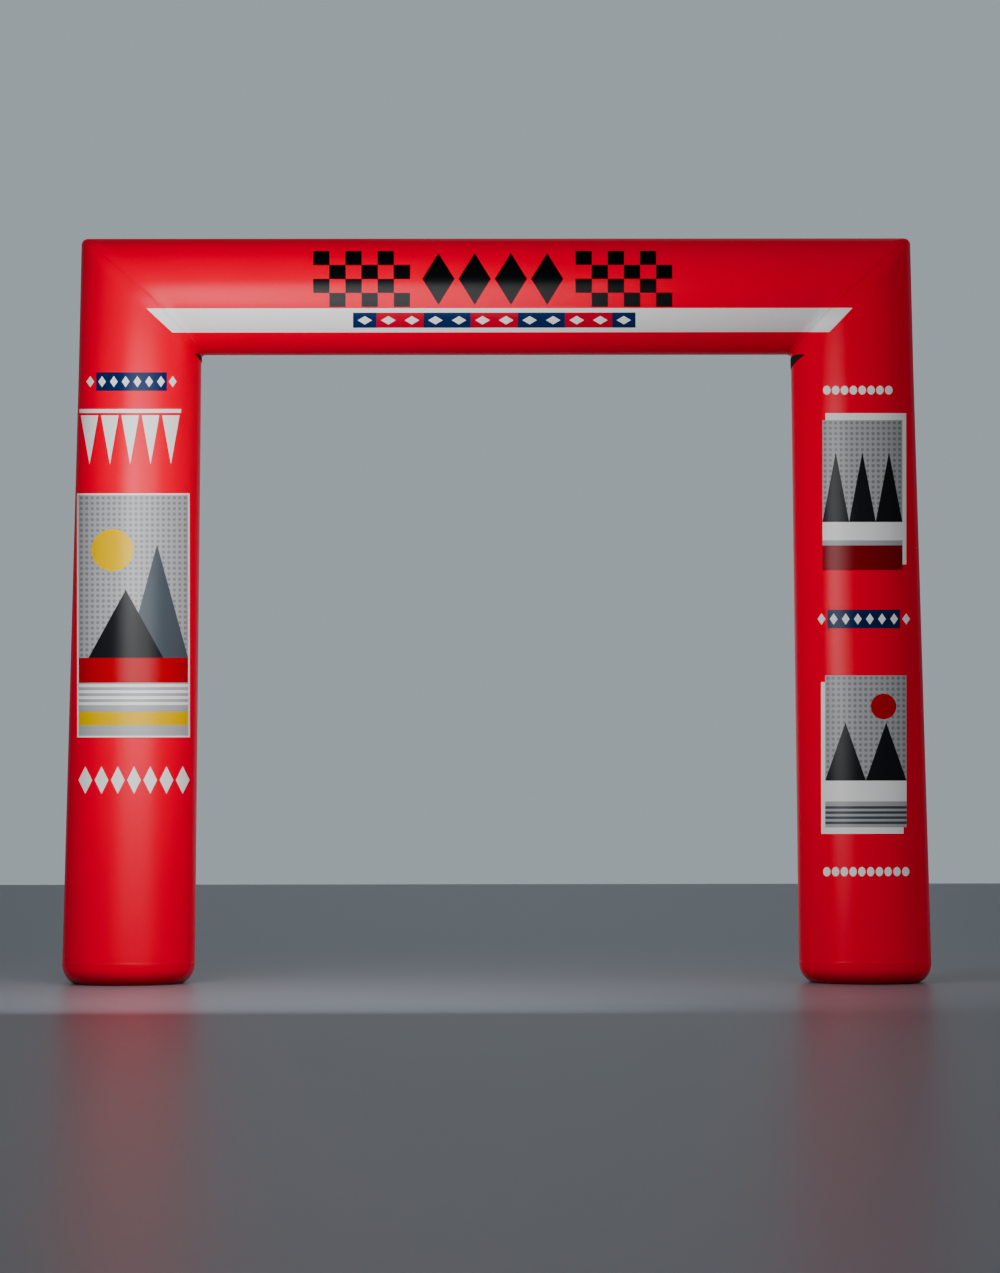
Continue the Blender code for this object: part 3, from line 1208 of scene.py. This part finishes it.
class ARCH_OT_stitching(bpy.types.Operator):
    """Stitch along the mitres, the foot seams, the back seams and the patches"""

    bl_idname = "arch.stitching"
    bl_label = "Stitching"

    def execute(self, context):
        scene = context.scene
        shape, cloth = scene.arch_shape, scene.arch_cloth
        tree = stitch_tree()
        thread = thread_material("red_thread", cloth.thread_red)
        dark = thread_material("dark_thread", DARK_THREAD)
        columns = shape.columns
        beside = (1, columns - 1)  # the cloth's columns on both sides of the back seam
        bar = bpy.data.objects["crossbar_cloth"]
        bar_rings = shape.bar_rows + 2 * shape.corner_rows + 1
        leg_rings = shape.leg_rows + shape.corner_rows + 1
        for number, (word, side) in enumerate(SIDES.items()):
            leg = bpy.data.objects[f"leg_{word}_cloth"]
            from_seam = range(bar_rings) if side > 0 else range(bar_rings)[::-1]
            mitre = [
                (beside_seam(bar, columns, from_seam, far), True) for far in STITCH_ROWS
            ]
            seed = MITRE_SEED + number
            sew(scene, f"mitre_stitches_{word}", tree, mitre, bar, thread, seed)
            upward = range(leg_rings)[::-1]
            low = [(beside_seam(leg, columns, upward, far), True) for far in STITCH_ROWS]
            seed = FOOT_SEED + number
            sew(scene, f"foot_stitches_{word}", tree, low, leg, thread, seed)
            back = [(cloth_column(leg, columns, leg_rings, k), False) for k in beside]
            seed = BACK_SEED + number
            sew(scene, f"leg_back_stitches_{word}", tree, back, leg, thread, seed)
        back = [(cloth_column(bar, columns, bar_rings, k), False) for k in beside]
        sew(scene, "bar_back_stitches", tree, back, bar, thread, BAR_SEED)
        for patch in PATCHES:
            leg = bpy.data.objects[f"leg_{patch.side}_cloth"]
            edge = [(patch_edge(shape, patch), True)]
            name = f"patch_stitches_{patch.side}"
            sew(scene, name, tree, edge, leg, dark, PATCH_SEED)
        return {"FINISHED"}


PATCH_SEAM_INSET = 0.0045
PATCH_SEAM_LEAST = 0.1  # of the half depth, where a tip is too narrow for the inset
PATCH_EDGE_STEPS = 40


def patch_edge(shape, patch):
    """The seam's path just inside a patch's edge."""
    lift = shape.seam_gap + PATCH_THICKNESS
    share = 1 - PATCH_SEAM_INSET / patch_half_length(shape, patch)
    path = []
    for up in (1, -1):
        for step in range(PATCH_EDGE_STEPS):
            along = up * share * (2 * step / (PATCH_EDGE_STEPS - 1) - 1)
            depth = patch_depth(patch, math.cos(along * math.pi / 2))
            level = up * max(PATCH_SEAM_LEAST, 1 - 2 * PATCH_SEAM_INSET / depth)
            path.append(patch_spot(shape, patch, along, level, lift))
    return path


# ---------------------------------------------------------------- stage

CAMERA_SPOT = Vector((-0.0144, -12.192, 0.5647))
CAMERA_YAW, CAMERA_PITCH, CAMERA_ROLL = 0.0028, 0.118, -0.0015  # in radians
SENSOR = 36.0
FLOOR_SIZE = 600.0
FLOOR_FLAT_TO = 30.0
FLOOR_LIFT = 0.56
FLOOR_ROUGHNESS = 0.36
FLOOR_SPECULAR = 0.36
FLOOR_NOISE, FLOOR_SHADE = (1.4, 4.0), 0.04  # the paint's faint unevenness
BACK_FILL_FOCUS = 8  # how closely the soft light from behind keeps to the arch's back
STEEP_LOSS = 0.7  # how much weaker the soft light is straight from above or below
# As a direction turns to the back, the wall's glow fades in over two ranges, each with
# its share
GLOW_WIDE, GLOW_WIDE_SHARE = (0.0, 0.25), 0.3
GLOW_CLOSE, GLOW_CLOSE_SHARE = (0.90, 0.99), 0.7
SoftBox = namedtuple("SoftBox", "name spot turn width height")
TALL = SoftBox("tall_soft_box", (-1.00, -2.95, 2.45), (90, 0, 0), 3.40, 4.3)
KEY = SoftBox("key_soft_box", (-1.15, -2.94, 2.80), (90, 0, 0), 3.00, 3.1)
CORE = SoftBox("core_soft_box", (-2.25, -2.93, 3.10), (90, 0, 0), 1.3, 1.7)
REAR = SoftBox("rear_soft_box", (1.60, 5.50, 8.50), (-50, 0, 0), 5.0, 3.0)


def add_soft_box(box, radiance):
    """A large soft light that doesn't show itself. Its power follows from how bright
    its face is."""
    lamp = bpy.data.lights.new(box.name, "AREA")
    lamp.shape = "RECTANGLE"
    lamp.size = box.width
    lamp.size_y = box.height
    lamp.energy = radiance * math.pi * box.width * box.height
    light = add_object(box.name, lamp)
    light.location = box.spot
    light.rotation_euler = [math.radians(angle) for angle in box.turn]
    light.visible_camera = False


def add_camera(scene, stage):
    """The photograph's camera."""
    forward = Vector((
        math.sin(CAMERA_YAW) * math.cos(CAMERA_PITCH),
        math.cos(CAMERA_YAW) * math.cos(CAMERA_PITCH),
        math.sin(CAMERA_PITCH),
    ))
    level = Vector((math.cos(CAMERA_YAW), -math.sin(CAMERA_YAW), 0))
    upright = level.cross(forward)
    right = level * math.cos(CAMERA_ROLL) + upright * math.sin(CAMERA_ROLL)
    above = right.cross(forward)
    turn = Matrix((right, above, -forward)).transposed().to_4x4()
    lens = bpy.data.cameras.new("camera")
    lens.sensor_width = SENSOR
    lens.lens = stage.lens
    camera = add_object("camera", lens)
    camera.matrix_world = Matrix.Translation(CAMERA_SPOT) @ turn
    scene.camera = camera


def add_floor(stage):
    """A plain pale floor. Far behind the arch it lifts a little to meet the wall."""
    reach = FLOOR_SIZE / 2
    levels = ((-reach, 0.0), (FLOOR_FLAT_TO, 0.0), (reach, FLOOR_LIFT))
    points = [(x, y, z) for y, z in levels for x in (-reach, reach)]
    mesh = bpy.data.meshes.new("floor")
    mesh.from_pydata(points, [], [(0, 1, 3, 2), (2, 3, 5, 4)])
    material = bpy.data.materials.new("floor_paint")
    tree, shader = principled(material)
    shade = 1 + mottle(tree, point_place(tree), *FLOOR_NOISE) * FLOOR_SHADE
    feed(shader.inputs["Base Color"], shaded(tree, stage.floor, shade))
    shader.inputs["Roughness"].default_value = FLOOR_ROUGHNESS
    shader.inputs["Specular IOR Level"].default_value = FLOOR_SPECULAR
    mesh.materials.append(material)
    floor = add_object("floor", mesh)


def add_surround(scene, stage):
    """The plain wall that the camera sees, the soft light that comes from all round, and
    the wall's glow in what is glossy."""
    world = bpy.data.worlds.new("surround")
    world.use_nodes = True
    tree = world.node_tree
    back = tree.nodes["Background"]
    way = tree.nodes.new("ShaderNodeTexCoord").outputs["Generated"]
    x, y, z = parts(tree, way)
    front = (-y).math("MAXIMUM", 0) * stage.front_fill
    behind = y.math("MAXIMUM", 0).math("POWER", BACK_FILL_FOCUS) * stage.back_fill
    left = (-x).math("MAXIMUM", 0) * stage.left_fill
    right = x.math("MAXIMUM", 0) * stage.right_fill
    soft = (front + behind + left + right) * (1 - z * z * STEEP_LOSS)
    glow = y.fade(*GLOW_WIDE) * GLOW_WIDE_SHARE + y.fade(*GLOW_CLOSE) * GLOW_CLOSE_SHARE
    glow = glow * stage.back_gloss
    red, green, blue = (glow * part for part in stage.backdrop)
    ray = tree.nodes.new("ShaderNodeLightPath").outputs
    lit = add_node(tree, "ShaderNodeCombineColor", Red=soft, Green=soft, Blue=soft)
    shining = add_node(tree, "ShaderNodeCombineColor", Red=red, Green=green, Blue=blue)
    shown = paint(tree, lit.outputs[0], ray["Is Glossy Ray"], shining.outputs[0])
    shown = paint(tree, shown, ray["Is Camera Ray"], (*stage.backdrop, 1))
    feed(back.inputs["Color"], shown)
    scene.world = world


class ARCH_OT_stage(bpy.types.Operator):
    """Set up the floor, the light and the camera"""

    bl_idname = "arch.stage"
    bl_label = "Stage"

    def execute(self, context):
        scene = context.scene
        stage = scene.arch_stage
        add_floor(stage)
        add_surround(scene, stage)
        add_soft_box(TALL, stage.tall)
        add_soft_box(KEY, stage.key)
        add_soft_box(CORE, stage.core)
        add_soft_box(REAR, stage.rear)
        add_camera(scene, stage)
        scene.view_settings.view_transform = "AgX"
        scene.view_settings.look = "AgX - Medium High Contrast"
        return {"FINISHED"}


# ---------------------------------------------------------------- add-on


class ARCH_PT_panel(bpy.types.Panel):
    """The arch's operators and settings"""

    bl_idname = "ARCH_PT_panel"
    bl_label = "Inflatable arch"
    bl_space_type = "VIEW_3D"
    bl_region_type = "UI"
    bl_category = "Arch"

    def draw(self, context):
        layout = self.layout
        for operator in OPERATORS:
            layout.operator(operator.bl_idname)
        for group in SETTINGS:
            settings = getattr(context.scene, group)
            box = layout.box()
            for name in settings.__annotations__:
                box.prop(settings, name)


OPERATORS = (
    ARCH_OT_legs,
    ARCH_OT_crossbar,
    ARCH_OT_feet,
    ARCH_OT_patches,
    ARCH_OT_stitching,
    ARCH_OT_stage,
)
SETTINGS = {
    "arch_shape": ArchShape,
    "arch_cloth": ArchCloth,
    "arch_sewing": ArchSewing,
    "arch_stage": ArchStage,
}


def register():
    """Make the settings, the operators and the panel known to Blender."""
    for name, group in SETTINGS.items():
        bpy.utils.register_class(group)
        setattr(bpy.types.Scene, name, PointerProperty(type=group))
    for made in (*OPERATORS, ARCH_PT_panel):
        bpy.utils.register_class(made)


def unregister():
    """Take everything that register made away again."""
    for made in (ARCH_PT_panel, *reversed(OPERATORS)):
        bpy.utils.unregister_class(made)
    for name, group in SETTINGS.items():
        delattr(bpy.types.Scene, name)
        bpy.utils.unregister_class(group)


def main():
    """Make the whole arch."""
    register()
    surface_group()
    bpy.ops.arch.legs()
    bpy.ops.arch.crossbar()
    bpy.ops.arch.feet()
    bpy.ops.arch.patches()
    bpy.ops.arch.stitching()
    bpy.ops.arch.stage()


if __name__ == "__main__":
    main()
